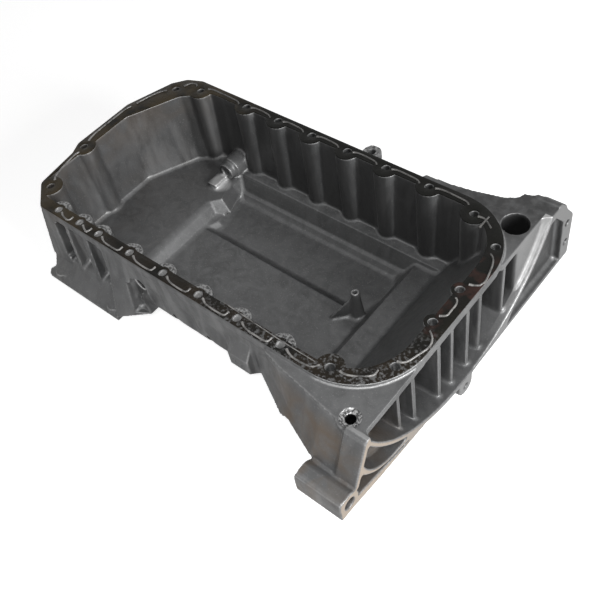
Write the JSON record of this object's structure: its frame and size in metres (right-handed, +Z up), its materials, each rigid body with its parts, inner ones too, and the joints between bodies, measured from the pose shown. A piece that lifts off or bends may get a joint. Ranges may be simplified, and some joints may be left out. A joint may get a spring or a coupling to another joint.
{
  "type": "engine oil pan",
  "caption": "Cast aluminium engine oil pan: stepped open tub, flat screwed rim with a moulded gasket, ribbed arc and ears at the gearbox end.",
  "frame": {"origin": "middle of the four outer side screws, on the sealing face of the casting", "axes": "+Z up, square to the sealing face; +X along the pan towards the gearbox; +Y across the pan, away from the side with the ribbed mount"},
  "size_m": [0.437, 0.3402, 0.1082],
  "materials": {
    "cast_aluminium": "sand-cast grey aluminium, satin, slightly soiled with oil",
    "gasket_rubber": "glossy dark brown moulded rubber with a raised bead"
  },
  "bodies": {
    "root": {"oil_pan_casting": "cast_aluminium", "rim_gasket": "gasket_rubber"}
  },
  "joints": []
}
